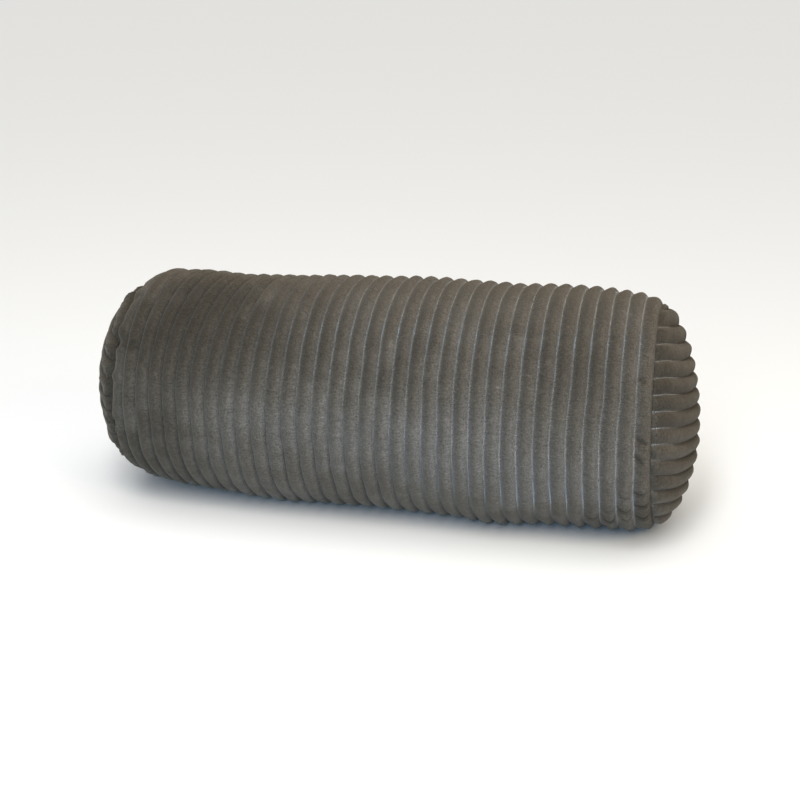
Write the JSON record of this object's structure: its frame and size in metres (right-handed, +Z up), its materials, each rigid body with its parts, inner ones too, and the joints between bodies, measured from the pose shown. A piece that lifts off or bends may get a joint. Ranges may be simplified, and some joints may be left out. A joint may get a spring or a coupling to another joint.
{
  "type": "neck roll pillow",
  "caption": "Soft filled neck roll in wide-wale corduroy: a barrel with plump cords running round it and a crowned round panel sewn into each end, resting on a flattened underside.",
  "frame": {"origin": "bottom centre of the roll, on the surface it rests on", "axes": "+X along the roll towards its fuller right end, +Z up, -Y towards the front"},
  "size_m": [0.4074, 0.1604, 0.1551],
  "materials": {
    "corduroy": "matt plush wide-wale corduroy with a brushed nap, taupe grey"
  },
  "bodies": {
    "root": {"filled_barrel": "corduroy", "right_end_panel": "corduroy", "left_end_panel": "corduroy"}
  },
  "joints": []
}
